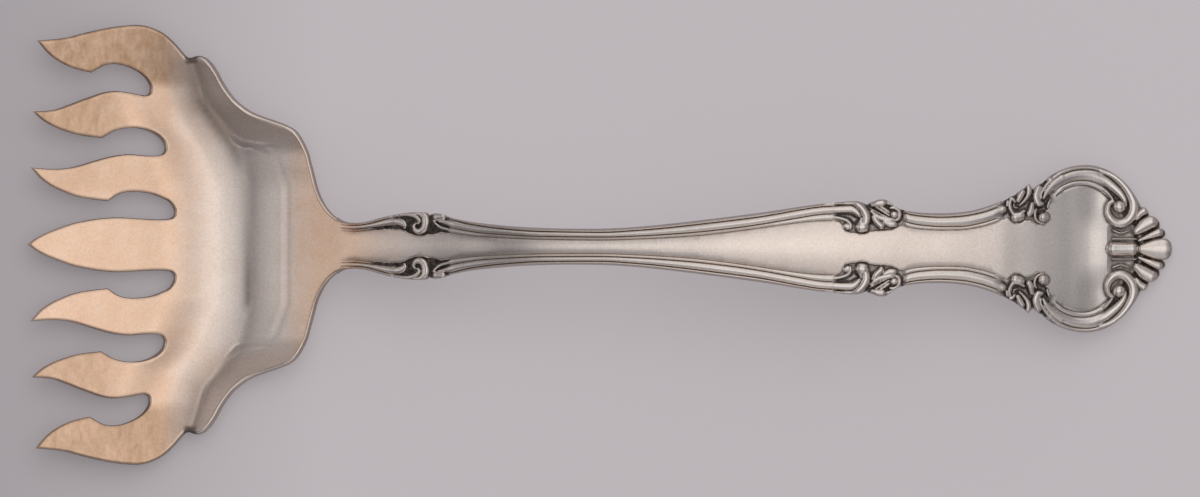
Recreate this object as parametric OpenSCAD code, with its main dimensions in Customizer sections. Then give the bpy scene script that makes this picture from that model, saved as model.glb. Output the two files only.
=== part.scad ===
// Sardine fork: a wide press-formed head with seven flame-shaped tines, on an arched,
// die-struck handle with threaded borders, scrolls, leaves and a fluted shell at its end.
// Lengths are millimetres. The tines point to -X, the shell to +X, and the face is up.
// The fork lies on z = 0 on the lowest line of its bowl and on the underside of its shell.

/* [Overall] */
// Length from the tip of the middle tine to the end of the shell
overall_len = 146; // [134:1:160]
// Height of the top of the arched handle above the table
arch_h = 15.5; // [12:0.5:19]

/* [Head] */
// Width over the two outer tines
head_w = 56.3; // [48:0.1:64]
// Length from the tip of the middle tine to the bottom of the slots beside it
tine_len = 18.7; // [16:0.1:22]
// Length from the bottom of the middle slots to the neck
bowl_len = 22.7; // [19:0.1:26]
// Thickness of the plate that the head is pressed from
plate_t = 1.3; // [1:0.1:1.8]
// Depth of the bowl below the plate of the tines
trough_drop = 1.5; // [0.8:0.1:2.2]
// Height of the tine tips above the plate that the tines grow from
tip_lift = 1.3; // [0.5:0.1:2.5]
// Height of the neck above the bottom of the bowl
neck_rise = 5.8; // [4:0.1:7.5]

/* [Handle] */
// Width at the neck, where the handle leaves the bowl
neck_w = 5.9; // [5:0.1:7]
// Width over the first pair of scrolls
bolster_w = 8.6; // [7.6:0.1:10]
// Width at the slimmest place
slim_w = 4.6; // [4.2:0.1:6]
// Width at the second pair of scrolls
shoulder_w = 11.9; // [10.5:0.1:13.5]
// Width at the waist in front of the round end
waist_w = 8.9; // [8:0.1:10]
// Width of the round end
end_w = 21.4; // [19:0.1:24]
// Thickness at the slimmest place, below the borders
slim_t = 2.3; // [1.8:0.1:3]
// Thickness of the round end, below the borders
end_t = 1.3; // [1:0.1:1.8]
// Distance from the neck to the first pair of scrolls
bolster_at = 8.3; // [7:0.1:10]
// Distance from the second pair of scrolls to the end of the shell
shoulder_back = 40.5; // [37:0.1:44]
// Distance from the waist to the end of the shell
waist_back = 29.7; // [27:0.1:32]
// Distance from the middle of the round end to the end of the shell
round_back = 11.1; // [10:0.1:12]

/* [Ornament] */
// Width of the thin outer thread of the border
thread_w = 0.45; // [0.3:0.05:0.6]
// Width of the broad band of the border at the slimmest place
band_w = 0.7; // [0.5:0.05:0.9]
// Width of the thin inner cord of the border
cord_w = 0.35; // [0.25:0.05:0.5]
// Height of the broad band above the grooves beside it
relief = 0.5; // [0.3:0.05:0.8]
// Rise of the middle of the handle above its borders' grooves
crown = 0.6; // [0.3:0.05:0.9]
// Radius of the volutes at the round end
volute_r = 1.9; // [1.5:0.1:2.2]

/* [Hidden] */
gilt = "burlywood";
silver = "silver";
// Steps between two outline points, rows of the bowl's grid, and sides of a small rounded lobe
curve_steps = 2;
front_rows = 6;
rear_rows = 8;
half_columns = 12;
lobe_fn = 8;
small_lobe = 0.42;
lobe_sink = 0.15;
// Height by which the handle laps over the sheet of the bowl at the neck
handle_lap = 0.04;
// Depth to which an ornament is rooted in the metal below it
root_depth = 0.5;

// Places along the fork, from the tip of the middle tine
u_slot = tine_len;
u_neck = tine_len + bowl_len;
u_bolster = u_neck + bolster_at;
u_shoulder = overall_len - shoulder_back;
u_waist = overall_len - waist_back;
u_round = overall_len - round_back;
u_slim = u_bolster + 0.37 * (u_shoulder - u_bolster);
// The round end is an ellipse, a little longer towards the waist than towards the shell
round_b = end_w / 2;
round_front = 0.82 * round_b;
round_rear = 0.76 * round_b;
// Angle on the ellipse at which the border of the waist runs into the border of the round end
join_angle = 131;
u_join = u_round + round_front * cos(join_angle);
u_leaves = u_round - 0.83 * round_b;
u_pearl = u_round - 0.49 * round_b;
plate_z = plate_t + trough_drop;
neck_z = plate_t + neck_rise;

function lerp(a, b, t) = a + (b - a) * t;
function clamp(t) = max(0, min(1, t));
function ease(t) = let (c = clamp(t)) c * c * (3 - 2 * c);

// Slope of a curve through the knots [x, value] at knot i, kept free of overshoot
function secant(k, i) = (k[i + 1][1] - k[i][1]) / (k[i + 1][0] - k[i][0]);
function knot_slope(k, i) =
    i == 0 ? secant(k, 0)
    : i == len(k) - 1 ? secant(k, i - 1)
    : let (a = secant(k, i - 1), b = secant(k, i)) a * b <= 0 ? 0 : 2 * a * b / (a + b);
function knot_before(k, x, i = 0) = i >= len(k) - 2 || x < k[i + 1][0] ? i : knot_before(k, x, i + 1);
// Value at x of the smooth curve through the knots [x, value]
function curve(k, x) =
    let (
        i = knot_before(k, x),
        h = k[i + 1][0] - k[i][0],
        t = clamp((x - k[i][0]) / h),
        m0 = knot_slope(k, i) * h,
        m1 = knot_slope(k, i + 1) * h
    )
    k[i][1] * (1 + 2 * t) * (1 - t) * (1 - t) + k[i + 1][1] * t * t * (3 - 2 * t)
        + m0 * t * (1 - t) * (1 - t) - m1 * t * t * (1 - t);

// Points of a smooth line through hand-set points, n to each stretch
function smooth(p, n) = [
    for (i = [0 : len(p) - 2], s = [0 : n - 1])
        let (
            t = s / n,
            m0 = i == 0 ? p[1] - p[0] : (p[i + 1] - p[i - 1]) / 2,
            m1 = i == len(p) - 2 ? p[i + 1] - p[i] : (p[i + 2] - p[i]) / 2
        )
        p[i] * (1 + 2 * t) * (1 - t) * (1 - t) + p[i + 1] * t * t * (3 - 2 * t)
            + m0 * t * (1 - t) * (1 - t) - m1 * t * t * (1 - t),
    p[len(p) - 1]
];

// Outline of the head

// Edges of the tines of one half, from the middle out: percent of tine_len from the tips,
// and percent of half of head_w from the middle. Each line ends at a point or a corner.
TINE_EDGES = [
    // Middle tine, from its tip to the slot
    [[0, 0], [12, 5], [26, 8.6], [40, 10.9], [60, 12.4], [77, 11.9], [95, 11.5]],
    // Round bottom of the first slot, out to the barb of the second tine
    [[95, 11.5], [100, 14.9], [96, 19.7], [84, 23.3], [70, 24.1], [60, 22], [55, 19.9]],
    // Second tine, along its inner edge to its tip and back along its outer edge
    [[55, 19.9], [43, 20.7], [29, 22.6], [16, 26.5], [9, 29.5], [2, 35.1]],
    [[2, 35.1], [16, 34.3], [29, 35], [43, 37.6], [57, 40], [70, 41.1], [89, 40.3]],
    // Second slot
    [[89, 40.3], [93, 43.9], [90, 48], [79, 52.1], [69, 53.1], [58, 51.4], [50, 48.4]],
    // Third tine
    [[50, 48.4], [36, 49.6], [23, 52.2], [9, 56.6], [4, 60.2]],
    [[4, 60.2], [19, 61.3], [29, 63.8], [43, 67.2], [60, 69.7], [80, 67.4]],
    // Third slot
    [[80, 67.4], [83, 70.6], [80, 75.6], [71, 79.7], [57, 82], [49, 80.3], [43, 78.4]],
    // Outer tine, and round its shoulder to the notch
    [[43, 78.4], [29, 80.4], [16, 85.3], [7, 92.5]],
    [[7, 92.5], [28, 94.1], [50, 97.7], [70, 99.8], [82, 99.1], [93, 95.9], [104, 89]]
];
// Rim of the bowl from the notch to the neck: percent of bowl_len from the slots,
// and percent of half of head_w from the middle
RIM_EDGE = [
    [6.5, 85.8], [15, 86], [22, 82.5], [28, 74.7], [36, 65.6], [43, 61.1], [54, 57.7], [65, 54.3],
    [71, 50.5], [76, 42.5], [79.5, 32.6], [82.5, 23.5], [88, 16]
];
// Where the lowest line of the bowl runs, out from the middle: percent of half of head_w,
// then percent of bowl_len
TROUGH_LINE = [[0, 40], [23, 40], [41, 36], [54, 25.5], [66, 16.5], [79, 11], [86, 9], [100, 9]];
// Slant of that line as the cosine of its angle, the reach of the rounded bottom behind it in
// percent of bowl_len, and the steepness of the wall as a share of that in the middle
TROUGH_SLANT = [[0, 1], [20, 1], [34, 0.94], [45, 0.84], [54, 0.82], [66, 0.88], [79, 0.96], [100, 0.98]];
HOLLOW = [[0, 17.6], [27, 17], [50, 11.5], [68, 6.6], [100, 5.7]];
STEEPNESS = [[0, 1], [36, 1], [68, 1.15], [86, 1.2], [100, 1.2]];
// How far the lowest line climbs back to the plate of the tines, out from the middle
TROUGH_CLIMB = [[0, 0], [50, 0], [70, 0.3], [86, 0.75], [100, 1]];
// Where the rim stands, read off the rim's own edge
RIM_LINE = [
    [0, 100], [10, 99], [16, 88], [23.5, 82.5], [32.6, 79.5], [42.5, 76], [50.5, 71], [54.3, 65],
    [57.7, 54], [61.1, 43], [65.6, 36], [74.7, 28], [82.5, 22], [88, 17], [100, 15]
];

function at_tines(p) = [p[0] / 100 * tine_len, p[1] / 100 * head_w / 2];
function at_bowl(p) = [u_slot + p[0] / 100 * bowl_len, p[1] / 100 * head_w / 2];
neck_edge = [[u_neck - 0.5, neck_w / 2], [u_neck + 1, neck_w / 2]];
half_outline = concat(
    [for (line = TINE_EDGES) each smooth([for (p = line) at_tines(p)], curve_steps)],
    smooth(concat([for (p = RIM_EDGE) at_bowl(p)], neck_edge), curve_steps)
);

module head_outline() {
    upper = [for (p = half_outline) [p[0], p[1]]];
    lower = [for (i = [len(half_outline) - 1 : -1 : 1]) [half_outline[i][0], -half_outline[i][1]]];
    polygon(concat(upper, lower));
}

// Form of the pressed head

// Rise of the wall behind the lowest line, at a distance from it: round at the bottom, then straight
function wall_rise(distance, hollow) = sqrt(distance * distance + hollow * hollow) - hollow;
u_low_middle = at_bowl(TROUGH_LINE[0][1] * [1, 0])[0];
wall_slope = neck_rise / wall_rise(u_neck - u_low_middle, HOLLOW[0][1] / 100 * bowl_len);

// Height of the upper side at u along the fork and y across it
function head_z(u, y) =
    let (
        v = abs(y) / (head_w / 2) * 100,
        u_low = at_bowl([curve(TROUGH_LINE, v), 0])[0],
        tines = plate_z + tip_lift * pow(max(0, 1 - u / u_slot), 2),
        low = lerp(plate_t, plate_z, curve(TROUGH_CLIMB, v)),
        front = clamp((u_low - u) / (u_low - 0.92 * u_slot)),
        back = max(0, u - u_low) * curve(TROUGH_SLANT, v),
        wall = wall_slope * curve(STEEPNESS, v) * wall_rise(back, curve(HOLLOW, v) / 100 * bowl_len)
    )
    u < u_low ? lerp(low, tines, ease(front)) : low + wall;

// Thickness measured straight down, so that the sloping walls stay as thick as the plate
function head_drop(u, y) =
    let (
        step = 0.2,
        along = (head_z(u + step, y) - head_z(u - step, y)) / (2 * step),
        across = (head_z(u, y + step) - head_z(u, y - step)) / (2 * step)
    )
    plate_t * sqrt(1 + min(2, along * along + across * across));

module pressed_sheet() {
    margin = 0.6;
    // Percent of half the head's width within which the handle covers the end of the sheet
    neck_cover = 12;
    rows = front_rows + rear_rows;
    columns = 2 * half_columns;
    function row_u(i, y) =
        let (
            v = abs(y) / (head_w / 2) * 100,
            u_low = at_bowl([curve(TROUGH_LINE, v), 0])[0],
            u_rim = at_bowl([curve(RIM_LINE, v), 0])[0]
        )
        i <= front_rows
            ? lerp(-margin, u_low, i / front_rows)
            : lerp(u_low, u_rim + (v < neck_cover ? -0.3 : margin), (i - front_rows) / rear_rows);
    grid = [
        for (i = [0 : rows], j = [0 : columns])
            let (y = (j / half_columns - 1) * (head_w / 2 + margin))
            [row_u(i, y), y]
    ];
    top = [for (p = grid) [p[0], p[1], head_z(p[0], p[1])]];
    bottom = [for (i = [0 : len(grid) - 1]) top[i] - [0, 0, head_drop(grid[i][0], grid[i][1])]];
    n = len(grid);
    wide = columns + 1;
    polyhedron(
        concat(top, bottom),
        concat(
            [for (i = [0 : rows - 1], j = [0 : columns - 1])
                let (a = i * wide + j, b = a + wide) each [[a, a + 1, b], [a + 1, b + 1, b]]],
            [for (i = [0 : rows - 1], j = [0 : columns - 1])
                let (a = n + i * wide + j, b = a + wide) each [[a, b, a + 1], [a + 1, b, b + 1]]],
            [for (j = [0 : columns - 1])
                let (f = j, r = rows * wide + j)
                each [[f, n + f, n + f + 1, f + 1], [r, r + 1, n + r + 1, n + r]]],
            [for (i = [0 : rows - 1])
                let (a = i * wide, b = a + wide, c = a + columns, d = c + wide)
                each [[a, b, n + b, n + a], [c, n + c, n + d, d]]]
        )
    );
}

module head() {
    color(gilt)
    intersection() {
        pressed_sheet();
        translate([0, 0, -1])
        linear_extrude(arch_h + 2)
        head_outline();
    }
}

// Form of the handle

// Half widths along the handle as knots [u, half width], with the run between two named
// widths given as [share of the way, share of the change]
function run(u0, w0, u1, w1, shape) = [for (s = shape) [lerp(u0, u1, s[0]), lerp(w0, w1, s[1])]];
WIDTHS = concat(
    [[u_neck - 4, neck_w / 2], [u_neck + 0.5, neck_w / 2]],
    run(u_neck, neck_w / 2, u_bolster, bolster_w / 2, [[0.45, 0.46], [0.75, 0.86], [1, 1]]),
    run(u_bolster, bolster_w / 2, u_slim, slim_w / 2, 
        [[0.1, 0.06], [0.2, 0.3], [0.33, 0.58], [0.51, 0.82], [0.75, 0.95], [1, 1]]),
    run(u_slim, slim_w / 2, u_shoulder, shoulder_w / 2, 
        [[0.22, 0.085], [0.44, 0.31], [0.65, 0.57], [0.87, 0.9], [1, 1]]),
    run(u_shoulder, shoulder_w / 2, u_waist, waist_w / 2, [[0.29, 0.18], [0.59, 0.73], [1, 1]]),
    run(u_waist, waist_w / 2, u_join, round_b * sin(join_angle),
        [[0.35, 0.12], [0.6, 0.4], [0.79, 0.68], [1, 1]])
);
function half_width(u) = curve(WIDTHS, u);

// Heights along the handle, of the grooves beside its borders
HEIGHTS = [
    [u_neck - 1.5, head_z(u_neck - 1.5, 0) + handle_lap], [u_neck, neck_z + handle_lap],
    [u_bolster, lerp(neck_z, arch_h, 0.45)],
    [lerp(u_bolster, u_slim, 0.51), lerp(neck_z, arch_h, 0.81)],
    [u_slim, lerp(neck_z, arch_h, 0.94)], [lerp(u_slim, u_shoulder, 0.45), arch_h],
    [u_shoulder, lerp(end_t, arch_h, 0.88)], [u_waist, lerp(end_t, arch_h, 0.71)],
    [lerp(u_waist, u_join, 0.6), lerp(end_t, arch_h, 0.55)],
    [u_join, lerp(end_t, arch_h, 0.4)], [u_round, lerp(end_t, arch_h, 0.187)],
    [u_round + 0.45 * round_back, lerp(end_t, arch_h, 0.063)],
    [overall_len - 3, end_t + 0.05], [overall_len, end_t]
];
function handle_z(u) = u < u_neck - 1.5 ? head_z(u, 0) + handle_lap : curve(HEIGHTS, u);
function handle_slope(u) = (handle_z(u + 0.3) - handle_z(u - 0.3)) / 0.6;

// Thickness, and the size of the border against its size at the slimmest place
THICKNESS = [
    [u_neck - 4, plate_t], [u_neck - 1, 1.2 * plate_t], [u_neck + 3, 0.95 * slim_t], [u_slim, slim_t],
    [u_shoulder, 0.85 * slim_t], [u_join, 1.1 * end_t], [overall_len, end_t]
];
BORDER_SCALE = [
    [u_neck, 0.75], [u_bolster, 0.8], [u_slim, 1], [u_shoulder, 1.35],
    [u_waist, 1.45], [u_join, 1.7], [overall_len, 1.7]
];
// Stretches over which the border stands up, between the scrolls and leaves
BORDER_RUNS = [
    [u_neck - 1, u_bolster - 1.6], [u_bolster + 2.6, u_shoulder - 0.9],
    [u_shoulder + 6, u_round - 10], [u_round - 5.8, u_round + 0.5 * round_rear]
];
function within(r, u) = min(ease((u - r[0]) / 0.5), ease((r[1] - u) / 0.5));
function border_on(u) = max([for (r = BORDER_RUNS) within(r, u)]);
// The outer thread alone runs on round the volute
function thread_on(u) = max(border_on(u), within([u_round, u_round + 0.93 * round_rear], u));

// Stations round the edge of one half: [edge point, point on the middle line]
straight_u = [
    u_neck - 2, u_neck - 0.8, u_neck + 0.7, u_neck + 2.4, u_neck + 4.2,
    each [for (r = [u_bolster - 2.1, u_bolster - 1.6, u_bolster + 0.4, u_bolster + 2.6, u_bolster + 3.1]) r],
    each [for (t = [0.14, 0.2, 0.28, 0.37, 0.47, 0.57, 0.67, 0.77, 0.87, 0.94])
        lerp(u_bolster, u_shoulder, t)],
    u_shoulder - 1.4, u_shoulder - 0.9, u_shoulder + 2.5, u_shoulder + 6, u_shoulder + 6.5,
    lerp(u_shoulder, u_waist, 0.85), lerp(u_waist, u_round, 0.12), lerp(u_waist, u_round, 0.25),
    u_round - 10.5, u_round - 10, u_round - 7.8
];
last_angle = 7;
round_stations = 16;
u_end = u_round + round_rear * cos(last_angle);
stations = concat(
    [for (u = straight_u) [[u, half_width(u)], [u, 0]]],
    [for (k = [0 : round_stations])
        let (
            share = k / round_stations,
            a = lerp(join_angle, last_angle, share),
            r = a > 90 ? round_front : round_rear,
            middle = 0.5 + 4 * pow(share - 0.5, 3)
        )
        [[u_round + r * cos(a), round_b * sin(a)], [lerp(u_join, u_end, middle), 0]]]
);

// A point of the handle above p, dz from the grooves
function above(p, dz) = [p[0], p[1], handle_z(p[0]) + dz];
function below(p, share) = above(p, -share * curve(THICKNESS, p[0]));

// Half of the loop round the handle at one station: from the middle of the underside to the
// edge, then over the thread, the band and the cord to the crowned panel and its middle
function half_loop(e, m) =
    let (
        inward = (m - e) / norm(m - e),
        k = curve(BORDER_SCALE, e[0]),
        fit = min(1, 0.75 * norm(m - e) / ((thread_w + band_w + cord_w) * k)),
        rise = relief * border_on(e[0]),
        d1 = thread_w * min(1.2, k) * fit,
        d2 = d1 + band_w * k * fit,
        d3 = d2 + cord_w * k * fit,
        c = crown * ease((e[0] - u_neck + 2) / 4) * min(1, (u_end - m[0]) / round_rear),
        inner = e + inward * d3
    )
    [
        below(lerp(e, m, 0.55), 1),
        below(e, 0.75),
        above(e, -0.3),
        above(e + inward * d1 * 0.4, relief * thread_on(e[0]) * 0.55),
        above(e + inward * d1, 0),
        above(e + inward * lerp(d1, d2, 0.25), rise * 0.8),
        above(e + inward * lerp(d1, d2, 0.65), rise),
        above(e + inward * d2, 0),
        above(e + inward * lerp(d2, d3, 0.5), rise * 0.5),
        above(inner, 0.02),
        above(lerp(inner, m, 0.4), 0.7 * c)
    ];
function across(p) = [p[0], -p[1], p[2]];

module handle() {
    loops = [
        for (s = stations)
            let (
                half = half_loop(s[0], s[1]),
                c = crown * ease((s[0][0] - u_neck + 2) / 4) * min(1, (u_end - s[1][0]) / round_rear)
            )
            [
                below(s[1], 1), each half, above(s[1], c),
                each [for (i = [len(half) - 1 : -1 : 0]) across(half[i])]
            ]
    ];
    n = len(loops);
    wide = len(loops[0]);
    color(silver)
    polyhedron(
        [for (l = loops) each l],
        concat(
            [[for (j = [0 : wide - 1]) j]],
            [for (i = [0 : n - 2], j = [0 : wide - 1])
                let (a = i * wide + j, b = i * wide + (j + 1) % wide)
                each [[a, a + wide, b], [b, a + wide, b + wide]]],
            [[for (j = [wide - 1 : -1 : 0]) (n - 1) * wide + j]]
        )
    );
}

module both_sides() {
    children();
    mirror([0, 1, 0]) children();
}
// Ornaments. Each is drawn in its own frame, x along the handle, y out from its anchor and z up
// from the grooves, and then set on the arched handle.

module on_handle(u, y) {
    translate([u, y, handle_z(u)])
    rotate([0, -atan(handle_slope(u)), 0])
    children();
}

// A bead that runs along a path, w0 wide at its start, w1 at its end and fuller between
module bead(path, w0, w1, belly, rise) {
    n = len(path);
    section = [[-0.5, -1], [-0.5, 0.15], [-0.25, 0.85], [0.25, 0.85], [0.5, 0.15], [0.5, -1]];
    wide = len(section);
    points = [
        for (i = [0 : n - 1])
            let (
                ahead = path[min(n - 1, i + 1)] - path[max(0, i - 1)],
                side = [-ahead[1], ahead[0]] / norm(ahead),
                t = i / (n - 1),
                w = lerp(w0, w1, t) + belly * sin(180 * t)
            )
            for (s = section) [each (path[i] + side * w * s[0]), s[1] < 0 ? -root_depth : rise * s[1]]
    ];
    polyhedron(
        points,
        concat(
            [[for (j = [wide - 1 : -1 : 0]) j]],
            [for (i = [0 : n - 2], j = [0 : wide - 1])
                let (a = i * wide + j, b = i * wide + (j + 1) % wide)
                each [[a, b, a + wide], [b, b + wide, a + wide]]],
            [[for (j = [0 : wide - 1]) (n - 1) * wide + j]]
        )
    );
}

// A rounded lobe from a to b, with radii ra and rb, standing rise above the grooves. It is
// widest just under the surface, so that neighbours leave no tunnel between them.
module lobe(a, b, ra, rb, rise) {
    fn = max(ra, rb) < small_lobe ? lobe_fn - 2 : lobe_fn;
    hull() {
        translate([a[0], a[1], -lobe_sink]) scale([ra, ra, rise + lobe_sink]) sphere(1, $fn = fn);
        translate([b[0], b[1], -lobe_sink]) scale([rb, rb, rise + lobe_sink]) sphere(1, $fn = fn);
    }
}

function spiral(c, r0, r1, a0, a1, n) = [
    for (k = [0 : n]) let (t = k / n, a = lerp(a0, a1, t)) c + lerp(r0, r1, t) * [cos(a), sin(a)]
];

// First pair of scrolls: the outer thread curls in to a volute, the inner bead ends in a hook
module bolster_scroll() {
    curl = smooth([
        [-2.4, -0.3], [-0.6, -0.5], [0.7, -0.8], [1.25, -1.75],
        [0.75, -2.6], [-0.05, -2.7], [-0.5, -2.15], [-0.15, -1.55]
    ], 2);
    hook = smooth([[-3, -1.05], [-2.2, -1.1], [-1.6, -1.35], [-1.45, -1.95]], 2);
    bead(curl, 0.35, 0.35, 0.4, relief * 1.3);
    bead(hook, 0.6, 0.45, 0.1, relief);
    lobe([2.35, -0.7], [3.4, -0.45], 0.3, 0.4, relief * 1.2);
}

// Second pair of scrolls, with a spray of leaves and a ring behind it
module shoulder_scroll() {
    curl = smooth([[-1.2, -0.5], [0.25, -0.65], [1.3, -1.35], [1.8, -2.35], [1.65, -3.4], [0.9, -3.6]], 2);
    bead(curl, 0.6, 0.9, 0.25, relief * 1.3);
    bead(spiral([5.1, -1.6], 0.75, 0.65, 200, -120, 7), 0.35, 0.45, 0, relief * 1.3);
    lobe([0.95, -3.1], [0.95, -3.1], 0.75, 0.75, relief * 1.5);
    lobe([-0.75, -3.2], [-0.95, -2.9], 0.6, 0.5, relief * 1.2);
    lobe([-0.5, -1.1], [0.3, -2], 0.55, 0.45, relief * 1.3);
    lobe([2.9, -0.8], [3.6, -0.4], 0.4, 0.45, relief * 1.5);
    lobe([4.2, -1.2], [4.55, -0.85], 0.4, 0.35, relief * 1.1);
    lobe([2.3, -0.8], [4.05, -1.8], 0.25, 0.3, relief * 1.2);
    lobe([2.4, -2.2], [3.25, -3.5], 0.35, 0.5, relief * 1.2);
    lobe([3.8, -2.85], [4.8, -3.2], 0.45, 0.4, relief * 1.2);
}

// Leaves where the border of the waist meets the border of the round end
module waist_leaves() {
    bead(spiral([0, -1.4], 0.6, 0.5, 220, -110, 6), 0.35, 0.35, 0, relief * 1.4);
    lobe([-0.6, -0.8], [1.6, 1.05], 0.45, 0.2, relief * 1.3);
    lobe([0.6, -1], [1.9, 0.6], 0.35, 0.25, relief * 1.1);
    lobe([0.1, -2.95], [-0.3, -2.8], 0.6, 0.45, relief * 1.3);
    lobe([1.15, -2.7], [1.9, -1.3], 0.3, 0.4, relief * 1.2);
}

// Pearl in a crescent, at the front of the round end
module pearl() {
    lobe([0, 0], [0, 0], 0.62, 0.62, relief * 1.7);
    bead(spiral([-0.45, 0], 0.8, 0.8, 80, 290, 6), 0.2, 0.2, 0.3, relief);
}

// Volute that closes the border of the round end: the band leaves the border, turns round
// the eye once and runs into it
module end_volute() {
    band = concat([[-0.25, 1.6] * volute_r], spiral([0, 0], 1.17 * volute_r, 0.45 * volute_r, 65, -390, 17));
    bead(band, 0.5, 0.45, 0.3, relief * 1.4);
    lobe([0.1, 0], [0.1, 0], 0.3 * volute_r, 0.3 * volute_r, relief * 1.6);
}

// Fluted shell: flutes that spread from behind the barrel, each as thick as the round end.
// The flutes of one half as [root, tip, half width], from the middle of the shell's root
SHELL_FLUTES = [
    [[0.4, 0.95], [3.3, 2.25], 0.5],
    [[-0.3, 1.9], [2.6, 3.6], 0.95],
    [[-0.4, 2.95], [1, 4.75], 0.5]
];
shell_reach = 4.6;
middle_flute = 1.15;

module flute(root, tip, half) {
    body = (end_t + relief) / 2;
    module end(p, r) {
        translate([p[0], p[1], handle_z(overall_len - shell_reach + p[0]) - end_t + body])
        scale([r, r, body])
        sphere(1, $fn = lobe_fn);
    }
    hull() {
        end(root, 0.6 * half);
        end(tip, half);
    }
}

module shell() {
    root_u = overall_len - shell_reach;
    translate([root_u, 0, 0]) {
        flute([0.3, 0], [shell_reach - middle_flute, 0], middle_flute);
        both_sides()
        for (f = SHELL_FLUTES)
            flute(f[0], f[1], f[2]);
        // Bed that shows dark between the flutes
        linear_extrude(end_t)
        hull() {
            translate([shell_reach - 2.2, 0]) circle(1.2, $fn = lobe_fn);
            for (f = SHELL_FLUTES, side = [-1, 1])
                translate([f[1][0] - 0.4, side * (f[1][1] - 0.4)]) circle(f[2] / 2, $fn = lobe_fn);
        }
    }
    // Barrel and the two thin bars beside it
    on_handle(root_u - 1.8, 0) {
        lobe([-0.95, 0], [0.95, 0], 0.95, 0.95, relief * 1.6);
        both_sides() lobe([-1.2, 1.55], [1.5, 1.55], 0.22, 0.22, relief);
    }
}

module ornaments() {
    color(silver) {
        both_sides() {
            on_handle(u_bolster, bolster_w / 2) bolster_scroll();
            on_handle(u_shoulder, shoulder_w / 2) shoulder_scroll();
            on_handle(u_leaves, half_width(u_leaves)) waist_leaves();
            on_handle(u_pearl, 0.38 * round_b) pearl();
            on_handle(u_round + 0.5 * round_rear, 0.48 * round_b) end_volute();
        }
        shell();
    }
}

// The whole fork is one piece of metal, placed with the middle of its length at x = 0
module sardine_fork() {
    translate([-overall_len / 2, 0, 0])
    union() {
        head();
        handle();
        ornaments();
    }
}

sardine_fork();
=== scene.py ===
"""Looks of the sardine fork: two closed meshes, the pressed head and the handle with its struck
relief, that meet inside the neck, in aged silver with gilding on the head, on a pale floor."""
import math
import bpy
import numpy as np
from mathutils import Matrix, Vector
from mathutils.geometry import delaunay_2d_cdt


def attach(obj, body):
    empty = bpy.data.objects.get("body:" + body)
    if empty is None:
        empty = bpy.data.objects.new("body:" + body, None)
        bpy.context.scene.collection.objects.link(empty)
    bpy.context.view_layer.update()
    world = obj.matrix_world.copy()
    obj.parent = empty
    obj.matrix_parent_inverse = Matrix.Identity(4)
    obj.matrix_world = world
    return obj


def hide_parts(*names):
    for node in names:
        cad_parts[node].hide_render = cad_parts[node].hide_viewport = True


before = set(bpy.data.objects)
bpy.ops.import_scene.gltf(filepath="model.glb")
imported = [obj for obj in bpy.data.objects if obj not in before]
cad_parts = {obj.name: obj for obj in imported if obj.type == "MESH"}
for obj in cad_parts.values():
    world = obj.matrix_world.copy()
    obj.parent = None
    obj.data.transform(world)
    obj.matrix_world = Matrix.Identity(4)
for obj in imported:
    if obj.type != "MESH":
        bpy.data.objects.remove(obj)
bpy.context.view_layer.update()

# Scale. Plan measures in the lists below are read off the photograph: x from its left edge and
# h out from the fork's middle line, both in its pixels. Heights are in millimetres.
PX_PER_MM = 7.85
TIP_X = 27.0
FORK_LENGTH = 146.0
MM = 0.001
PHOTO_WIDTH = 1200

# Heights of the fork, in millimetres, as in the CAD model
PLATE_T = 1.3
TROUGH_DROP = 1.5
TIP_LIFT = 1.3
SLIM_T = 2.3
END_T = 1.3

# Landmarks along the fork, in pixels: the deepest slot, the handle's start and the head's end
# inside the neck, the waist before the round end, the round border's plain part, the plates
# beside the barrel, and the shell
SLOT_X = 173.5
HANDLE_X = 338
HEAD_END_X = 345.0
WAIST_X = 990
ROUND_X = 1049.6
ROUND_END_X = 1106
PLATE_X = 1108
SHELL_X = 1134

# Rounded edges, in millimetres
HEAD_ROUND = 0.28
HEAD_UNDER_ROUND = 0.22
HANDLE_ROUND = 0.16
HANDLE_UNDER_ROUND = 0.5
# Edges sharper than this stay sharp in the shading
SHARP = math.radians(58)


def plan(points):
    """Photograph's (x, h, ...) points as (u, y, ...) in millimetres from the middle tine's tip."""
    p = np.array(points, float)
    p[:, 0] -= TIP_X
    return p / PX_PER_MM


def photo(u, y):
    """Photograph's x and h of plan points."""
    return u * PX_PER_MM + TIP_X, np.abs(y) * PX_PER_MM


def ease(t):
    t = np.clip(t, 0.0, 1.0)
    return t * t * (3 - 2 * t)


def cubic(v, m, i, h, t):
    """Values v with slopes m joined by a cubic, at the share t of the steps i of length h."""
    ends = v[i] * (1 + 2 * t) * (1 - t) ** 2 + v[i + 1] * t * t * (3 - 2 * t)
    return ends + m[i] * h * t * (1 - t) ** 2 - m[i + 1] * h * t * t * (1 - t)


def curve(points):
    """A smooth curve without overshoot through (x, value) points, as a function of an array."""
    p = np.array(points, float)
    x, v = p[:, 0], p[:, 1]
    rise = np.diff(v) / np.diff(x)
    m = np.zeros(len(x))
    m[0], m[-1] = rise[0], rise[-1]
    a, b = rise[:-1], rise[1:]
    same = a * b > 0
    m[1:-1][same] = 2 * a[same] * b[same] / (a[same] + b[same])

    def at(q):
        q = np.clip(q, x[0], x[-1])
        i = np.clip(np.searchsorted(x, q, side="right") - 1, 0, len(x) - 2)
        h = x[i + 1] - x[i]
        return cubic(v, m, i, h, (q - x[i]) / h)

    return at


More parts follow.
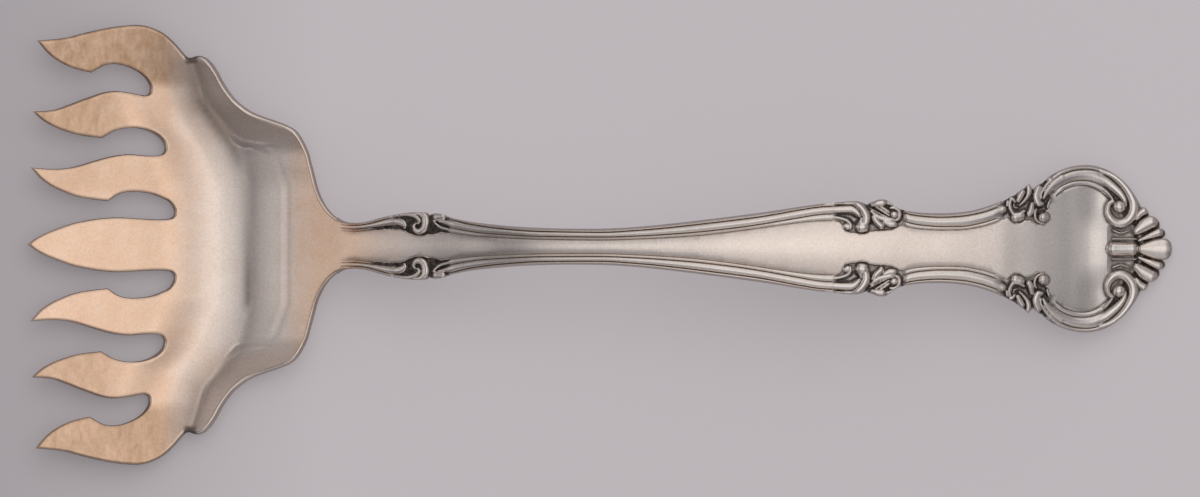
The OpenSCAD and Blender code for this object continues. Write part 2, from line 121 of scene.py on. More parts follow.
def smooth_line(points, step):
    """Points about a step apart on a smooth line through given points, with all columns."""
    p = np.array(points, float)
    d = np.linalg.norm(np.diff(p[:, :2], axis=0), axis=1)
    s = np.concatenate([[0.0], np.cumsum(d)])
    slope = np.diff(p, axis=0) / d[:, None]
    m = np.empty_like(p)
    m[0], m[-1] = slope[0], slope[-1]
    m[1:-1] = (slope[1:] * d[:-1, None] + slope[:-1] * d[1:, None]) / (d[1:] + d[:-1])[:, None]
    q = np.linspace(0, s[-1], max(2, int(math.ceil(s[-1] / step)) + 1))
    i = np.clip(np.searchsorted(s, q, side="right") - 1, 0, len(d) - 1)
    return cubic(p, m, i, d[i][:, None], ((q - s[i]) / d[i])[:, None])


# Outline of the head. Each line is smooth and ends at a tip, a barb or a slot's corner.
TINE_LINES = [
    [(27, 0), (35, 6), (45, 11.3), (55, 15.3), (65, 19), (75, 22), (85, 24), (95, 25.7),
     (105, 26.8), (115, 27.4), (125, 27.2), (140, 26.3), (155, 25.6), (165, 25.6)],
    [(165, 25.6), (170.5, 27), (173.3, 30.5), (173.3, 35), (171.5, 39), (168, 43.5), (160, 47.8),
     (150, 51.3), (140, 52.9), (130, 53.2), (121, 51.8), (115, 49), (111, 46), (107.5, 43.8)],
    [(107.5, 43.8), (100, 44.5), (90, 45.8), (80, 47.3), (70, 50), (60, 54), (50, 58.8), (40, 65.8),
     (30, 77.3)],
    [(30, 77.3), (40, 76.3), (50, 75.8), (60, 76), (70, 77.3), (80, 79.9), (90, 83), (100, 86),
     (110, 88.5), (120, 90.2), (130, 90.8), (140, 90), (150, 89.2), (156, 89)],
    [(156, 89), (160.5, 90.4), (163.1, 94), (163.3, 98), (162, 102), (159, 106), (155, 109.5),
     (150, 112.5), (140, 116), (130, 117.2), (121, 116.3), (112, 113.5), (106, 110), (101, 107)],
    [(101, 107), (90, 108.2), (80, 109.6), (70, 111.9), (60, 115.2), (50, 119.5), (40, 125.6),
     (32, 133.2)],
    [(32, 133.2), (45, 133.9), (55, 135.5), (62, 138), (70, 141), (80, 145), (90, 148.5),
     (100, 152), (108, 153.6), (115, 154), (122, 153.2), (130, 151.7), (138, 150), (143, 149.1)],
    [(143, 149.1), (146.8, 150.7), (148.6, 154.5), (148.3, 159), (146.7, 163), (144, 167),
     (139.5, 171.3), (133, 175.4), (126, 178.4), (118, 180.7), (110, 181.3), (104, 180.2),
     (98, 177.3), (90, 172.7)],
    [(90, 172.7), (80, 174.8), (70, 177.7), (60, 182.2), (50, 188.8), (43, 195.5), (36, 204.3)],
    [(36, 204.3), (48, 205.3), (58, 206.3), (68, 208), (78, 210.8), (90, 213.8), (100, 216),
     (110, 217.9), (120, 219.3), (130, 220.3), (138, 220.4), (147, 219), (155, 216.2), (163, 212),
     (170, 206.5), (177, 199.5), (183, 192.5), (187, 188.2)],
]
RIM_LINE = [
    (187, 188.2), (190, 187.8), (195, 189.2), (200, 189.8), (206, 188), (212, 183), (218, 174.5),
    (223, 165), (230, 154), (237, 145.5), (243, 140.5), (250, 135.6), (260, 131), (270, 127.5),
    (280, 124), (290, 119.8), (296, 116), (300, 111.5), (305, 103), (309, 94), (312, 83), (315, 72),
    (317.5, 62), (320.5, 52.5), (325, 43), (330, 35.5), (337, 28.8), (345, 24.2), (352, 22.8),
    (360, 23.2), (370, 25),
]
# Lines of the bowl, as (h, x): the lowest one, the foot of the wall and the die's faint crease
LOW_AT = curve([
    (0, 223), (50, 221), (75, 213), (95, 204), (125, 186), (145, 178), (170, 169), (190, 165),
    (230, 164),
])
TROUGH_AT = curve([
    (0, 248), (50, 248), (90, 240), (120, 221), (145, 204), (175, 194), (190, 190), (230, 190),
])
CREASE_AT = curve([
    (0, 288), (55, 288), (72, 283), (90, 275), (100, 262), (105, 240), (115, 222), (130, 208),
    (150, 204), (230, 204),
])
# Slant of the wall's foot, how wide the wall is rounded there and how steep it gets, and how
# far the lowest line climbs towards the sides
SLANT_AT = curve([
    (0, 1), (45, 1), (75, 0.94), (100, 0.84), (120, 0.82), (145, 0.88), (175, 0.96), (230, 0.98),
])
HOLLOW_AT = curve([(0, 3.6), (60, 3.5), (110, 2.6), (150, 1.5), (230, 1.3)])
STEEP_AT = curve([(0, 0.4), (80, 0.4), (150, 0.39), (190, 0.4), (230, 0.4)])
CLIMB_AT = curve([(0, 0), (110, 0), (155, 0.15), (190, 0.45), (230, 0.6)])
# Length of the front in pixels, rise of the wall, dish across, and height and width of the crease
FRONT = 62.0
RISE = 0.126
DISH = 0.0016
CREASE_HEIGHT = 0.045
CREASE_WIDTH = 3.6


def head_z(u, y):
    """Height of the head's upper side over the plan."""
    x, h = photo(u, y)
    low_x, foot_x = LOW_AT(h), TROUGH_AT(h)
    tines = PLATE_T + TROUGH_DROP + TIP_LIFT * np.clip((SLOT_X - x) / (SLOT_X - TIP_X), 0, 1) ** 2
    low = PLATE_T + TROUGH_DROP * CLIMB_AT(h)
    front = (low_x - x) / FRONT
    slant = SLANT_AT(h) / PX_PER_MM
    near = np.clip(x - low_x, 0, foot_x - low_x) * slant
    back = np.maximum(x - foot_x, 0) * slant
    hollow = HOLLOW_AT(h)
    wall = low + RISE * (0.5 * near ** 2 / ((foot_x - low_x) * slant) + back)
    wall += STEEP_AT(h) * (np.hypot(back, hollow) - hollow)
    tilt = (CREASE_AT(h + 1) - CREASE_AT(h - 1)) / 2
    aside = (x - CREASE_AT(h)) / np.sqrt(1 + tilt ** 2)
    crease = CREASE_HEIGHT * np.exp(-(aside / CREASE_WIDTH) ** 2)
    crease = crease * ease((165 - h) / 20) * ease((x - foot_x) / 10)
    return np.where(x < low_x, low + (tines - low) * ease(front), wall + crease) + DISH * y ** 2


def head_normals(u, y):
    """Unit normals of the head's upper side."""
    e = 0.12
    along = (head_z(u + e, y) - head_z(u - e, y)) / (2 * e)
    across = (head_z(u, y + e) - head_z(u, y - e)) / (2 * e)
    n = np.stack([-along, -across, np.ones_like(u)], axis=-1)
    return n / np.linalg.norm(n, axis=-1, keepdims=True)


def plate_thickness(u, y):
    """The plate thins towards the tips of the tines and towards the neck."""
    x, h = photo(u, y)
    wall = ease((x - TROUGH_AT(h)) / 40)
    return PLATE_T - 0.4 * np.clip((SLOT_X - x) / (SLOT_X - TIP_X), 0, 1) - 0.3 * wall


def round_off(distance, radius):
    """How far a rounded edge lies below its face, at a distance from the edge."""
    d = np.clip(distance, 0, radius)
    return radius - np.sqrt(np.maximum(radius ** 2 - (radius - d) ** 2, 0))


def head_points(p, distance):
    """Upper and lower surface points over plan points of the head."""
    u, y = p[:, 0], p[:, 1]
    n = head_normals(u, y)
    t = plate_thickness(u, y)
    low = np.stack([u, y, head_z(u, y) - t / n[:, 2]], axis=-1)
    upper = low + n * (t - round_off(distance, HEAD_ROUND))[:, None]
    lower = low + n * round_off(distance, HEAD_UNDER_ROUND)[:, None]
    return upper, lower


def distance_to(p, line):
    """Distance of plan points from a line of segments."""
    a, b = line[:-1], line[1:]
    ab = b - a
    length = np.maximum((ab ** 2).sum(1), 1e-12)
    out = np.empty(len(p))
    for k in range(0, len(p), 1500):
        q = p[k:k + 1500, None, :]
        t = np.clip(((q - a) * ab).sum(-1) / length, 0, 1)
        out[k:k + 1500] = np.sqrt((((a + ab * t[..., None]) - q) ** 2).sum(-1).min(1))
    return out


# Outline of the handle, from the cut in the neck to the shell's tip
HANDLE_LINES = [
    [(338, 28.2), (341, 26.1), (345, 24.2), (352, 23), (360, 23.2), (370, 25), (380, 28),
     (390, 30.5), (400, 32.3), (410, 33.6), (420, 33.8), (427, 33.2), (430, 31.6)],
    [(430, 31.6), (435, 32.8), (440, 32.3), (445, 31), (450, 29), (460, 26.5), (470, 24.6),
     (480, 23.3), (490, 22.2), (500, 21.2), (520, 19.6), (540, 18.7), (560, 18.1), (580, 18),
     (600, 18.1), (620, 18.9), (640, 20.4), (660, 22.3), (680, 24.5), (700, 26.9), (720, 29.4),
     (740, 32), (760, 34.7), (780, 37.7), (800, 40.9), (820, 43.7), (840, 45.7), (850, 46.5),
     (858, 46.4), (866, 44)],
    [(866, 44), (872, 46), (880, 48.5), (886, 48), (890, 45.5), (895, 41.6), (900, 39), (910, 36.8),
     (920, 35.5), (930, 35), (940, 34.9), (950, 35.2), (960, 36), (970, 37.4), (980, 39.8),
     (990, 43), (1000, 47), (1010, 51.8), (1020, 58), (1025, 61.8), (1029, 65)],
    [(1029, 65), (1031, 62), (1033, 60)],
    [(1033, 60), (1040, 65.5), (1045, 69.4), (1050, 73), (1060, 78.3), (1070, 81.8), (1080, 83.5),
     (1090, 83.6), (1100, 81.6), (1110, 77.4), (1120, 70.7), (1127, 64), (1132, 57.6), (1136, 51.5),
     (1139, 46), (1141, 41.8)],
    [(1141, 41.8), (1144.5, 41.5), (1147, 39.5), (1148.5, 36), (1149.5, 33.2)],
    [(1149.5, 33.2), (1154, 32.2), (1158, 29), (1160, 24.8), (1159.5, 20.7)],
    [(1159.5, 20.7), (1163, 19.8), (1165.3, 17), (1165.3, 13.8), (1163, 10.7)],
    [(1163, 10.7), (1167.5, 9.8), (1170.8, 6.5), (1172.2, 0)],
]
# Lines between the beads of the border: outer groove, inner groove and edge of the panel
OUTER_GROOVE = curve([
    (338, 24.6), (345, 21.2), (352, 20.6), (360, 20.9), (370, 22.6), (380, 25.5), (390, 28.1),
    (400, 29.5), (434, 29.5), (447, 27.6), (455, 25.8), (460, 24.5), (465, 23.2), (480, 20.6),
    (500, 18), (540, 15.2), (600, 14.6), (640, 16.9), (680, 20.8), (700, 23.2), (740, 28.1),
    (760, 30.8), (800, 38), (815, 40.4), (825, 41.4), (835, 41.7), (840, 41.5), (848, 40),
    (902, 36.4), (906, 35), (912, 33.6), (920, 32.4), (940, 31.2), (960, 32.2), (980, 35.7),
    (995, 40.5), (1000, 43), (1006, 46.5),
])
INNER_GROOVE = curve([
    (338, 20.4), (345, 17.2), (352, 16.6), (370, 18), (380, 19), (390, 20.1), (400, 19.7),
    (434, 26), (440, 23), (445, 21), (450, 19), (455, 17.6), (460, 16.6), (465, 15.8), (480, 13.5),
    (500, 12.1), (540, 10.2), (600, 9.7), (640, 11), (680, 13.6), (700, 15.3), (740, 20), (760, 23),
    (800, 30), (815, 32.6), (825, 33.7), (835, 34), (842, 33.2), (850, 31.5), (901, 28), (910, 25),
    (920, 23.1), (940, 21.6), (960, 21.7), (980, 24.9), (995, 29.6), (1000, 32), (1006, 35),
])
PANEL_EDGE = curve([
    (338, 17.4), (345, 14.8), (352, 14.4), (370, 16), (380, 16.8), (390, 17.3), (400, 17),
    (405, 15.8), (408, 14.2), (412, 12.3), (416, 11.1), (420, 10.7), (424, 11.2), (428, 12.2),
    (434, 12.6), (440, 14.2), (445, 14), (450, 13.4), (460, 12), (465, 11.3), (480, 9.9),
    (500, 8.8), (540, 7.5), (600, 7), (640, 8.2), (680, 10.4), (700, 12), (740, 16.8), (760, 19.6),
    (800, 25.2), (815, 26.6), (830, 27.2), (838, 26.8), (842, 24), (846, 17), (852, 15.6),
    (857, 15.2), (861, 14), (866, 14.8), (871, 17), (880, 17.8), (890, 18.4), (896, 20.6),
    (900, 22.4), (905, 21.9), (912, 20.4), (920, 19.2), (940, 18.2), (960, 18.4), (980, 21.3),
    (995, 25.6), (1003, 29), (1008, 30.8), (1012, 27.4), (1016, 25.6), (1020, 25.8), (1025, 28.4),
    (1030, 28.6), (1034, 26.8), (1038, 24.6), (1040, 25), (1042, 30), (1044, 36.5), (1047, 39.5),
    (1049, 43), (1050, 46), (1060, 46),
])
EDGE_H = curve([p for line in HANDLE_LINES[:3] for p in line[:-1]] + [(1029, 65), (1033, 60)]
               + HANDLE_LINES[4][1:])
# Level of the grooves along the handle
LEVEL = curve([
    (338, 6.11), (352, 7.14), (417, 10.88), (460, 12.6), (500, 14.05), (540, 14.83), (579, 15.16),
    (640, 15.43), (703, 15.5), (780, 14.95), (855, 13.85), (940, 11.5), (1000, 9.25), (1018, 8.3),
    (1032, 7.47), (1046, 6.57), (1060, 5.65), (1074, 4.75), (1088, 4.0), (1102, 3.42), (1113, 3.06),
    (1130, 2.6), (1150, 1.95), (1165, 1.5), (1173, 1.3),
])
# Half the width over which the panel is crowned, up to the round end
CROWN_H = curve([
    (338, 17), (400, 16), (460, 12), (500, 9), (540, 7.5), (600, 7), (640, 8.2), (700, 12),
    (760, 19.6), (800, 25), (840, 28), (870, 26), (900, 22.5), (940, 19.5), (980, 23), (1010, 30),
    (1040, 42),
])
# Half the width of the panel's oval in the round end, and how high it stands over the border
OVAL_H = 63.0
DOME = curve([
    (990, 0.2), (1018, 0.24), (1032, 0.32), (1046, 0.42), (1060, 0.49), (1074, 0.485),
    (1088, 0.475), (1102, 0.53), (1110, 0.48), (1120, 0.3), (1132, 0.15), (1173, 0.1),
])
HANDLE_T = curve([
    (321, PLATE_T), (344, 1.5), (375, 2.2), (579, SLIM_T), (855, 1.95), (1041, 1.43), (1173, END_T),
])
# Depths of the same lines from the edge of the round end
ROUND_LINES = [
    curve([(1040, 9), (1046, 7), (1050, 6), (1055, 5.2), (1062, 4.4), (1075, 4), (1095, 4),
           (1103, 4.8), (1112, 5.8), (1120, 7), (1126, 8.4)]),
    curve([(1042, 15.6), (1052, 15.4), (1062, 14.6), (1070, 14.6), (1085, 15.6), (1097, 16.2),
           (1105, 17), (1126, 17.4)]),
    curve([(1042, 19.5), (1065, 19.4), (1085, 20.2), (1097, 21.4), (1107, 22.4), (1126, 22.4)]),
]
# Runs of the straight border's plain beads, and the places of the mesh's rings in the border
RUNS = [(338, 392), (450, 832), (904, 998)]
RING_LEVELS = [
    0.05, 0.16, 0.35, 0.6, 0.84, 0.95, 1, 1.05, 1.14, 1.28, 1.5, 1.72, 1.86, 1.95, 2, 2.06, 2.2,
    2.5, 2.8, 2.94, 3, 3.08, 3.25,
]
# Boxes (x0, x1, h0, h1) of fine mesh round the ornaments, and spacings of the mesh in millimetres
FINE_BOXES = [(390, 452, 8, 36), (828, 906, 8, 52), (994, 1052, 19, 68), (1088, 1174, 0, 80)]
FINE = 0.1
COARSE = 0.42
MIDDLE_STEP = 0.4
HEAD_STEP = 0.17
HANDLE_STEP = 0.13
# Heights of the border's thread, band and cord, in millimetres
BEADS = (0.38, 0.46, 0.28)

# Ornaments as strokes of domed metal: (x, h, radius) along each, and how high it stands. The
# thick ones are drawn this much wider, and all are sunk this deep into their ground.
SWELL = 0.2
SINK = 0.14
STROKES = [
    # Bolster: hooked end of the thread, end of the band, volute, bud, and the starts behind it
    ([(380, 27.2, 1.5), (388, 29.2, 1.8), (394, 30.3, 2), (400, 31.1, 2), (404, 31.7, 2.1),
      (409, 31.6, 2.3), (413.5, 30.4, 2.4), (417.6, 27.8, 2.4), (419.4, 24.8, 2.1),
      (418.2, 22.6, 1.6)], 0.62),
    ([(384, 23.8, 2.1), (390, 24.5, 2.6), (395, 24.6, 3), (400, 24.1, 3.3), (403.6, 22.5, 3),
      (405.1, 20.2, 2.2), (404.7, 18.2, 1.5)], 0.55),
    ([(408, 33, 1.2), (416, 33, 2), (421.6, 32, 3), (424.8, 29, 3.6), (425.6, 25, 3.8),
      (425.4, 21.6, 3.8), (424, 17.8, 3.6), (420.6, 15, 3.3), (416.8, 15.1, 2.8),
      (414.2, 17.6, 2.2), (413.9, 20.6, 1.8), (415.8, 22.6, 1.3)], 0.75),
    ([(436.8, 29, 3.7), (442.2, 29.7, 3.8)], 0.75),
    ([(433.6, 25.4, 1.3), (436.4, 21.8, 1.5), (440.4, 19, 1.6), (446, 17.3, 1.6),
      (452, 15.6, 1.5)], 0.42),
    ([(438.5, 25, 1.1), (443, 24.4, 1.9), (449, 23, 2.7), (454, 21.8, 3.3)], 0.46),
    # Shoulder: ends of the band and of the cord, then the double scroll with its ball
    ([(824, 37.6, 3.2), (836, 38.2, 3.3), (846, 38.5, 3.5), (852, 38.3, 3.7), (857, 35, 3.1),
      (859.4, 32.2, 2.2)], 0.6),
    ([(824, 44, 1.3), (836, 44.4, 1.4), (846, 44.6, 1.5), (853, 44.4, 2.2), (858.5, 42.4, 3.2),
      (863, 38, 3.8), (865.6, 33, 4), (866, 27, 3.8), (864.6, 22.4, 3.4)], 0.72),
    ([(861.4, 29.4, 1.8), (860.6, 26, 2.4)], 0.6),
    ([(861, 20.8, 5.4), (863, 21.2, 5.4)], 0.85),
    ([(824, 30.8, 1.5), (834, 30.6, 1.6), (842, 29, 1.8), (847.6, 26.6, 2), (850.4, 23, 2.2),
      (850.2, 19.8, 2.2)], 0.6),
    ([(845.8, 21.6, 3), (847.6, 20.8, 3.2)], 0.5),
    # Leaves behind the scroll, and the ring round an eye
    ([(872.4, 43.4, 2.4), (877.6, 44.6, 3.2), (882.4, 45, 3.5)], 0.75),
    ([(888, 45, 2.2), (893, 43.4, 1.9), (900, 39.9, 1.4), (908, 37.6, 1.2)], 0.6),
    ([(880.4, 41.2, 1.4), (885, 38.6, 1.8), (888.6, 36, 1.8)], 0.62),
    ([(890.4, 40.2, 1.6), (894.6, 40.2, 1.9), (898.4, 37.6, 2), (899.8, 33.4, 2),
      (898.4, 29.4, 1.9), (895, 27.4, 1.6)], 0.75),
    ([(893.6, 33.6, 3.2), (894.4, 33.4, 3.3)], 0.42),
    ([(875.4, 41.4, 1.1), (882.4, 36.9, 1.3), (889, 32.6, 1.2)], 0.55),
    ([(870.6, 39.4, 0.9), (878.6, 34.9, 1), (887.6, 30.9, 0.9)], 0.42),
    ([(871, 36.8, 1.5), (875.4, 32.8, 2.3), (881, 29.8, 2.7), (888, 28.4, 2.8),
      (894.6, 27.6, 2)], 0.6),
    ([(873.4, 31, 2.4), (876.6, 26.2, 3.3), (881.2, 21.9, 3.3)], 0.72),
    ([(884.6, 26, 2.7), (890, 24, 3.3), (894.4, 23.8, 2.7)], 0.68),
    # Waist: end of the band, hook round a deep eye, and the leaves
    ([(992, 34.3, 3.3), (998, 37.1, 3.6), (1002.6, 39.1, 3.4)], 0.5),
    ([(1007.4, 47, 1.6), (1007, 43, 1.7)], 0.55),
    ([(1010.4, 50.2, 1.7), (1013.2, 49, 1.9), (1014.6, 46.6, 1.5)], 0.7),
    ([(1010.4, 48, 1.6), (1009.6, 43.4, 1.9), (1010.6, 38.6, 2.1), (1013.4, 34.6, 2.3)], 0.62),
    ([(1028.4, 62.6, 2.5), (1028.8, 57, 2.6), (1027.2, 52, 2.2), (1023.8, 47.4, 1.7),
      (1019.6, 43.4, 1.2)], 0.8),
    ([(1022.4, 56.4, 2.8), (1019.8, 52, 2.9), (1018, 47.8, 2.2)], 0.6),
    ([(1013.6, 44, 1), (1014.6, 41.2, 1), (1017, 40.6, 0.9)], 0.25),
    ([(1015.8, 31.4, 4.6), (1020.4, 32.6, 4.2)], 0.72),
    ([(1020.4, 35.2, 2.2), (1024, 37.4, 1.8)], 0.7),
    ([(1031.9, 44.6, 2.1), (1031.2, 39.6, 2.9), (1029.2, 34.6, 2.9)], 0.72),
    # Pearl in its crescent, and the starts of bead, band and cord of the round border
    ([(1043.4, 31.4, 4.8), (1043.8, 31.4, 4.8)], 1.05),
    ([(1036, 39, 1.3), (1034.8, 34.4, 1.6), (1035.8, 29.6, 1.6), (1039.4, 26.2, 1.4),
      (1043.6, 24.8, 1.1)], 0.55),
    ([(1042, 44.8, 2.1), (1039, 45, 3), (1036.8, 48.6, 3.4), (1036.2, 54, 3.2),
      (1038.4, 60.4, 3)], 0.5),
    ([(1040.8, 50.6, 1.4), (1041, 54.6, 1.5), (1043.6, 59.8, 1.8), (1047.6, 65, 2.1),
      (1053, 70.4, 2.3), (1060, 75.2, 2.1)], 0.6),
    ([(1043.6, 50.6, 1.5), (1046.4, 56, 2.6), (1050.4, 61, 3.3), (1056, 66.4, 3.8),
      (1062, 70.2, 4.1)], 0.6),
    ([(1047.4, 41, 1.2), (1048.6, 45.6, 1.4), (1051.8, 50.6, 1.5), (1056, 54.8, 1.6),
      (1061.6, 58.6, 1.6)], 0.42),
    # Double volute that closes the border: the bead turns round the eye, the band runs out
    ([(1100, 78.2, 2.4), (1106, 76, 2.6), (1113, 72.6, 3), (1120, 67.2, 3.5), (1126.4, 60, 4),
      (1131, 52.4, 4.5), (1133.5, 45, 4.7), (1133.1, 38, 4.8), (1130.2, 31.6, 4.7),
      (1125, 26.9, 4.5), (1118.8, 25.5, 4.3), (1112.9, 27.9, 4), (1108.7, 33, 3.5),
      (1107.3, 39.4, 3), (1108.8, 44.8, 2.7), (1112.4, 47.6, 2.4)], 0.85),
    ([(1094, 72.4, 4.4), (1100, 70.6, 4.4), (1106, 67.4, 4.4), (1113.2, 61.8, 4.2),
      (1119.6, 55.8, 3.8), (1123.4, 50.6, 3), (1125.6, 46, 2), (1126.2, 43, 1.3)], 0.6),
    ([(1118.6, 42.2, 5.6), (1119.4, 41.8, 5.6)], 1.0),
    ([(1092, 64.4, 1.5), (1098, 62.6, 1.6), (1104, 59, 1.7), (1109, 54, 1.7),
      (1112, 50, 1.5)], 0.45),
    ([(1113, 18.6, 1), (1120.7, 16, 1.2), (1129, 18.4, 1)], 0.5),
    # Barrel and thin bars in front of the shell
    ([(1113.4, 0, 6), (1132, 0, 6)], 0.95),
    ([(1113, 10, 1.1), (1136, 10, 1.1)], 0.55),
    # Flutes of the shell
    ([(1142, 0, 4.2), (1150, 0, 7), (1156, 0, 8.8), (1162.6, 0, 9.4)], 0.75),
    ([(1139, 8.6, 1.6), (1149.6, 13.2, 2.8), (1158.6, 16.8, 3.8)], 0.7),
    ([(1136.4, 17.8, 3.6), (1144, 23.6, 5.8), (1150.6, 27.4, 6)], 0.75),
    ([(1136.2, 30.6, 2.4), (1140, 35.6, 3.4), (1143.8, 38.2, 3.8)], 0.7),
]


def border_lines(x):
    """Edge, grooves and panel's edge of the straight border, as h."""
    return [EDGE_H(x), OUTER_GROOVE(x), INNER_GROOVE(x), PANEL_EDGE(x)]


def round_depths(x):
    """The same lines of the round border, as depths from the edge."""
    return [0.0 * x] + [line(x) for line in ROUND_LINES]


def passed(at, lines):
    """How many of a border's lines lie before a place, with the share of the way to the next."""
    count = np.zeros_like(at)
    for near, far in zip(lines, lines[1:]):
        count += np.clip((at - near) / np.maximum(far - near, 0.5), 0, 1)
    return np.where(at > lines[3], 3.0 + (at - lines[3]) / 4.0, count)


def border_level(x, h, edge_distance):
    """Place in the border: 0 at the edge, 1 and 2 in the grooves, 3 at the panel."""
    straight = passed(-h, [-line for line in border_lines(x)])
    rounded = passed(edge_distance * PX_PER_MM, round_depths(x))
    return np.where(x > ROUND_X, rounded, straight)


def in_runs(x):
    """1 where the border's beads are plain, 0 among the ornaments, fading between."""
    share = np.zeros_like(x)
    for a, b in RUNS:
        share = np.maximum(share, ease((x - a + 2) / 4) * ease((b - x + 6) / 6))
    rounded = ease((x - 1050) / 8) * ease((ROUND_END_X - x) / 8)
    return np.where(x > ROUND_X, rounded, share)


def crown(x, h):
    """How far the panel is domed over the border: a strip that widens into the round end's oval."""
    strip = np.clip(h / CROWN_H(x), 0, 1)
    steep = 0.11 - 0.045 * ease((x - 830) / 80) - 0.022 * ease((x - 940) / 50)
    slim = steep * CROWN_H(x) / PX_PER_MM * (1 - strip ** 2)
    mix = ease((x - 1000) / 40)
    oval = DOME(x) * (1 - np.clip(h / OVAL_H, 0, 1) ** 2)
    return (slim * (1 - mix) + oval * mix) * ease((x - HANDLE_X) / 40)


def ground_lift(x, h):
    """How far the ornaments and their ground rise with the panel in the round end."""
    return 0.9 * crown(x, h) * ease((x - WAIST_X) / 20)


def strike(x, h, ground, level):
    """The ornaments' strokes over their ground, and each point's distance from them in pixels."""
    z = ground.copy()
    gap = np.full(len(x), 99.0)
    for stroke, stand in STROKES:
        line = smooth_line(stroke, 0.35)
        line[:, 2] *= 1.04 + SWELL * ease((line[:, 2] - 1.6) / 1.6)
        lift = ground_lift(line[:, 0], line[:, 1])
        reach = line[:, 2].max() + 6
        near = ((x > line[:, 0].min() - reach) & (x < line[:, 0].max() + reach)
                & (h > line[:, 1].min() - reach) & (h < line[:, 1].max() + reach))
        idx = np.nonzero(near)[0]
        if not len(idx):
            continue
        d2 = (x[idx, None] - line[:, 0]) ** 2 + (h[idx, None] - line[:, 1]) ** 2
        q = d2 / line[:, 2] ** 2
        best = q.argmin(1)
        q = q[np.arange(len(idx)), best]
        gap[idx] = np.minimum(gap[idx], (np.sqrt(q) - 1) * line[best, 2])
        # It stands on the level round it, and a narrow one stands less high
        r = line[best, 2] / PX_PER_MM
        swell = 1 - np.clip(q, 0, 1) ** 1.4
        base = LEVEL(line[best, 0]) * 0.35 + level[idx] * 0.65 - SINK + lift[best]
        top = base + np.minimum(stand, 0.2 + 1.1 * r) * swell
        z[idx] = np.where(q < 1, np.maximum(z[idx], top), z[idx])
    return z, gap


def handle_relief(x, h, edge_distance):
    """Height of the handle's upper side, in millimetres, and the share of oxide and painted shade
    on it.
    """
    level = LEVEL(x)
    w = border_level(x, h, edge_distance)
    place = np.where(w < 1, np.clip(w, 0, 1) ** 1.6, w % 1)
    bead = 1 - np.abs(2 * place - 1) ** 2.5
    border = np.select([w < 1, w < 2], BEADS[:2], BEADS[2]) * bead
    # The panel is domed, and falls away again towards the shell
    dome = crown(x, h)
    fall = 0.32 * ease((x - 1074) / 26) * ease((h - 14) / 30)
    panel = 0.14 * ease((w - 3) / 0.5) + dome - fall
    share = in_runs(x)
    # The cord gives way to a deep recess before the bolster's volute
    share = np.where((w >= 2) & (x < 430), share * (1 - ease((x - 366) / 10)), share)
    past = ease((x - 780) / 40)
    ground = ground_lift(x, h) - 0.2 + 0.06 * past
    plain = np.where(w >= 3, panel, border * share + ground * (1 - share))
    # Concave plates beside the barrel, and a deep ground under the shell
    plate = (x > PLATE_X) & (h < 24)
    hollow = 0.06 + 0.01 * np.abs(h - 14.5) + 0.4 * (1 - ease((x - ROUND_END_X) / 9))
    plain = np.where(plate, np.minimum(plain, hollow), plain)
    shell = x > SHELL_X
    plain = np.where(shell, np.minimum(plain, -0.2), plain)
    bare = level + plain
    z, gap = strike(x, h, bare, level)
    # Oxide lies on the ground between the ornaments and in the border's grooves
    clear = 1 - ease((z - bare - 0.02) / 0.2)
    among = np.where(shell | (w < 3), 1 - share, 0.0) * clear
    among = np.where(plate & ~shell, 0.8 * clear * ease((x - PLATE_X) / 5), among)
    # Past the slim part it gathers at the foot of each ornament, thinly where that meets the panel
    among *= 1 - 0.65 * ease((gap - 1) / 2.5) * past
    among *= 1 - 0.7 * ease((w - 2.4) / 0.4) * past * (w < 3)
    foot = (0.4 + 0.35 * ease((x - 1000) / 30)) * ease((x - 820) / 10)
    foot = foot * ease((gap + 0.7) / 0.7) * (1 - ease((gap - 0.2) / 1.3))
    among = np.where((w >= 3) & ~shell & ~plate, foot, among)
    # Oxide in the border's grooves, and a thin painted shade along the panel's edge
    grooves = np.where(w < 3, 0.7 * (1 - bead) ** 3, 0.5 * (1 - ease((w - 3) / 0.4)))
    grooves = share * np.where(w < 0.5, 0, grooves)
    oxide_and_shade = np.maximum(among, grooves) * ease(edge_distance / HANDLE_ROUND)
    # The edge rolls over
    return z - 0.6 * round_off(edge_distance, HANDLE_ROUND) * (w < 1), oxide_and_shade


def inside(p, loop):
    """Which plan points lie inside a closed loop."""
    a, b = loop, np.roll(loop, -1, axis=0)
    odd = np.zeros(len(p), bool)
    for k in range(0, len(p), 4000):
        q = p[k:k + 4000]
        cross = (a[:, 1] > q[:, None, 1]) != (b[:, 1] > q[:, None, 1])
        with np.errstate(divide="ignore", invalid="ignore"):
            at = a[:, 0] + (q[:, None, 1] - a[:, 1]) * (b[:, 0] - a[:, 0]) / (b[:, 1] - a[:, 1])
        odd[k:k + 4000] = (cross & (q[:, None, 0] < at)).sum(1) % 2 == 1
    return odd


def join_lines(lines, step):
    """One outline from lines that meet in corners."""
    parts = [smooth_line(plan(line), step) for line in lines]
    return np.concatenate([part[:-1] for part in parts[:-1]] + [parts[-1]])


def offsets(line, distance):
    """Points beside a line, on its right hand, at a distance."""
    t = np.gradient(line, axis=0)
    t /= np.maximum(np.linalg.norm(t, axis=1, keepdims=True), 1e-9)
    return line + np.stack([t[:, 1], -t[:, 0]], axis=1) * distance


def lattice(box, gap):
    """Points of a triangular lattice over a box (u0, u1, y0, y1)."""
    rows = np.arange(box[2] + gap / 2, box[3], gap * 0.866)
    out = []
    for k, y in enumerate(rows):
        xs = np.arange(box[0] + (k % 2) * gap / 2, box[1], gap)
        out.append(np.stack([xs, np.full(len(xs), y)], axis=1))
    return np.concatenate(out)


